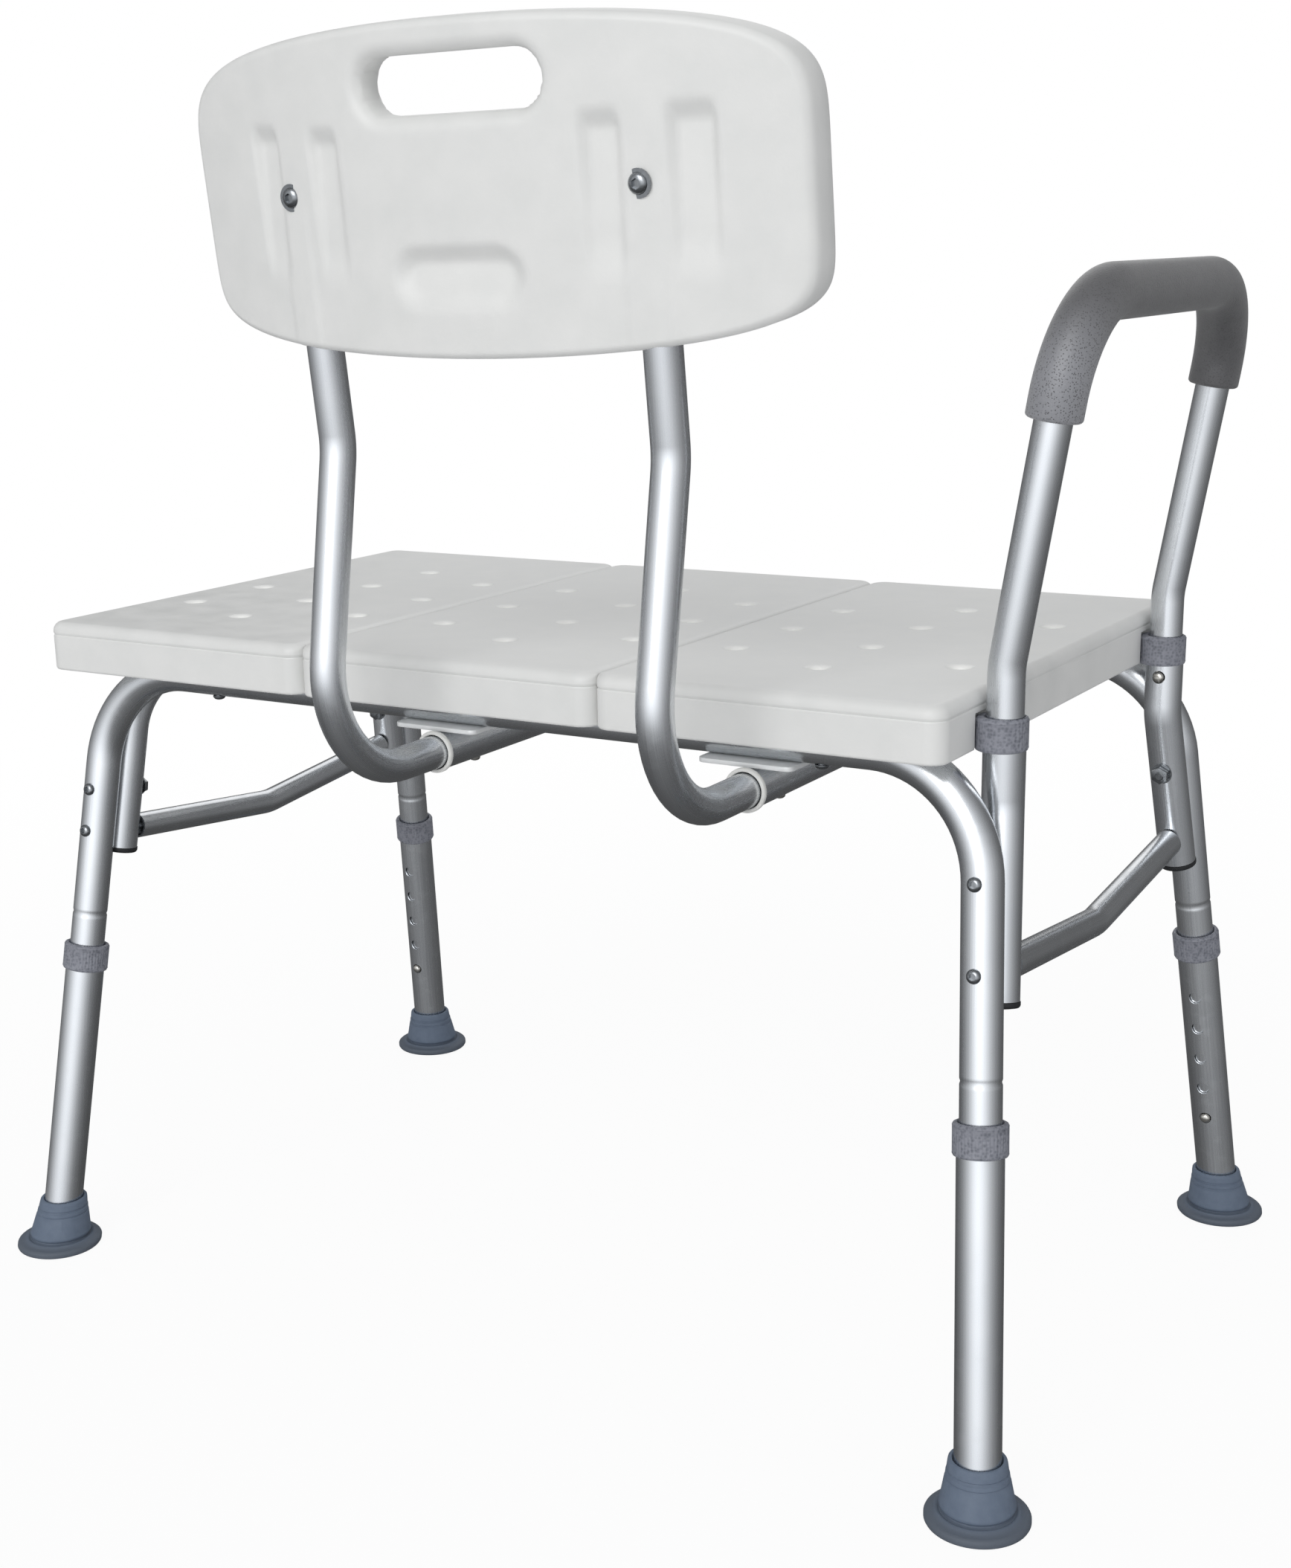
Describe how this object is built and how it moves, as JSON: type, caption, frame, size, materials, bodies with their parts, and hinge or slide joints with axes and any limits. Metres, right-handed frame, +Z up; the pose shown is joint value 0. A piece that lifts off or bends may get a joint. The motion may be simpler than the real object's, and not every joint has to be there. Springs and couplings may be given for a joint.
{
  "type": "tub transfer bench",
  "caption": "Tub transfer bench with a moulded seat and curved back on a tube frame, a lift-out armrest with a foam grip, and legs that adjust in height with snap buttons.",
  "frame": {"origin": "on the floor, at the middle of the object's box seen from above", "axes": "+Z up, +Y towards the back of the sitter, -X towards the armrest end"},
  "size_m": [0.8238, 0.6095, 0.8584],
  "materials": {
    "aluminium": "satin anodised tube",
    "grey_plastic": "slate grey, fine texture",
    "white_plastic": "blow-moulded polyethylene, off-white with a fine grain",
    "steel": "zinc-plated, bright",
    "rubber": "slate grey, matt",
    "foam": "closed-cell foam, dark grey, matt"
  },
  "bodies": {
    "frame": {"rear_leg_frame": "aluminium", "front_leg_frame": "aluminium", "end_frame": "aluminium", "arm_receiver_rear": "aluminium", "arm_receiver_front": "aluminium", "arm_collar_rear": "grey_plastic", "arm_collar_front": "grey_plastic", "end_brace_plain": "aluminium", "end_brace_arm": "aluminium", "back_receiver_left": "aluminium", "back_receiver_right": "aluminium", "receiver_ring_left": "white_plastic", "receiver_ring_right": "white_plastic", "receiver_plate_left_rear": "steel", "receiver_plate_left_front": "steel", "receiver_plate_right_rear": "steel", "receiver_plate_right_front": "steel", "seat_panel_plain": "white_plastic", "seat_panel_middle": "white_plastic", "seat_panel_arm": "white_plastic", "seat_bolt_plain_rear": "steel", "seat_bolt_plain_front": "steel", "seat_bolt_arm_rear": "steel", "seat_bolt_arm_front": "steel", "corner_bolt_plain_rear_upper": "steel", "corner_bolt_plain_rear_lower": "steel", "corner_bolt_plain_front_upper": "steel", "corner_bolt_plain_front_lower": "steel", "corner_bolt_arm_rear_upper": "steel", "corner_bolt_arm_rear_lower": "steel", "corner_bolt_arm_front_upper": "steel", "corner_bolt_arm_front_lower": "steel"},
    "leg_plain_rear": {"leg_extension_plain_rear": "aluminium", "leg_collar_plain_rear": "grey_plastic", "foot_plain_rear": "rubber"},
    "leg_button_plain_rear_body": {"leg_button_plain_rear": "steel"},
    "leg_plain_front": {"leg_extension_plain_front": "aluminium", "leg_collar_plain_front": "grey_plastic", "foot_plain_front": "rubber"},
    "leg_button_plain_front_body": {"leg_button_plain_front": "steel"},
    "leg_arm_rear": {"leg_extension_arm_rear": "aluminium", "leg_collar_arm_rear": "grey_plastic", "foot_arm_rear": "rubber"},
    "leg_button_arm_rear_body": {"leg_button_arm_rear": "steel"},
    "leg_arm_front": {"leg_extension_arm_front": "aluminium", "leg_collar_arm_front": "grey_plastic", "foot_arm_front": "rubber"},
    "leg_button_arm_front_body": {"leg_button_arm_front": "steel"},
    "armrest": {"armrest_tube": "aluminium", "armrest_grip": "foam"},
    "arm_button_rear_body": {"arm_button_rear": "steel"},
    "arm_button_front_body": {"arm_button_front": "steel"},
    "backrest": {"back_upright_left": "aluminium", "back_upright_right": "aluminium", "back_panel": "white_plastic", "back_bolt_left": "steel", "back_bolt_right": "steel"},
    "back_button_left_body": {"back_button_left": "steel"},
    "back_button_right_body": {"back_button_right": "steel"}
  },
  "joints": [
    {"name": "leg_height_plain_rear", "type": "slide", "parent": "frame", "child": "leg_plain_rear", "axis": [0.0811, 0.1586, -0.984], "range_m": [0, 0.1016], "deforming": ["leg_button_plain_rear"]},
    {"name": "leg_button_press_plain_rear", "type": "slide", "parent": "frame", "child": "leg_button_plain_rear_body", "axis": [0, 0.9873, 0.1591], "range_m": [0, 0.0042], "stiffness_N_per_m": 2000, "deforming": ["leg_button_plain_rear"]},
    {"name": "leg_height_plain_front", "type": "slide", "parent": "frame", "child": "leg_plain_front", "axis": [0.0811, -0.1586, -0.984], "range_m": [0, 0.1016], "deforming": ["leg_button_plain_front"]},
    {"name": "leg_button_press_plain_front", "type": "slide", "parent": "frame", "child": "leg_button_plain_front_body", "axis": [0, -0.9873, 0.1591], "range_m": [0, 0.0042], "stiffness_N_per_m": 2000, "deforming": ["leg_button_plain_front"]},
    {"name": "leg_height_arm_rear", "type": "slide", "parent": "frame", "child": "leg_arm_rear", "axis": [-0.0811, 0.1586, -0.984], "range_m": [0, 0.1016], "deforming": ["leg_button_arm_rear"]},
    {"name": "leg_button_press_arm_rear", "type": "slide", "parent": "frame", "child": "leg_button_arm_rear_body", "axis": [0, 0.9873, 0.1591], "range_m": [0, 0.0042], "stiffness_N_per_m": 2000, "deforming": ["leg_button_arm_rear"]},
    {"name": "leg_height_arm_front", "type": "slide", "parent": "frame", "child": "leg_arm_front", "axis": [-0.0811, -0.1586, -0.984], "range_m": [0, 0.1016], "deforming": ["leg_button_arm_front"]},
    {"name": "leg_button_press_arm_front", "type": "slide", "parent": "frame", "child": "leg_button_arm_front_body", "axis": [0, -0.9873, 0.1591], "range_m": [0, 0.0042], "stiffness_N_per_m": 2000, "deforming": ["leg_button_arm_front"]},
    {"name": "armrest_lift", "type": "slide", "parent": "frame", "child": "armrest", "axis": [0, 0, 1], "range_m": [0, 0.045], "deforming": ["arm_button_rear", "arm_button_front"]},
    {"name": "arm_button_press_rear", "type": "slide", "parent": "armrest", "child": "arm_button_rear_body", "axis": [0, 1, 0], "range_m": [0, 0.0042], "stiffness_N_per_m": 2000, "deforming": ["arm_button_rear"]},
    {"name": "arm_button_press_front", "type": "slide", "parent": "armrest", "child": "arm_button_front_body", "axis": [0, -1, 0], "range_m": [0, 0.0042], "stiffness_N_per_m": 2000, "deforming": ["arm_button_front"]},
    {"name": "backrest_pull", "type": "slide", "parent": "frame", "child": "backrest", "axis": [0, 1, 0], "range_m": [0, 0.1], "deforming": ["back_button_left", "back_button_right"]},
    {"name": "back_button_press_left", "type": "slide", "parent": "backrest", "child": "back_button_left_body", "axis": [0, 0, 1], "range_m": [0, 0.0042], "stiffness_N_per_m": 2000, "deforming": ["back_button_left"]},
    {"name": "back_button_press_right", "type": "slide", "parent": "backrest", "child": "back_button_right_body", "axis": [0, 0, 1], "range_m": [0, 0.0042], "stiffness_N_per_m": 2000, "deforming": ["back_button_right"]}
  ]
}
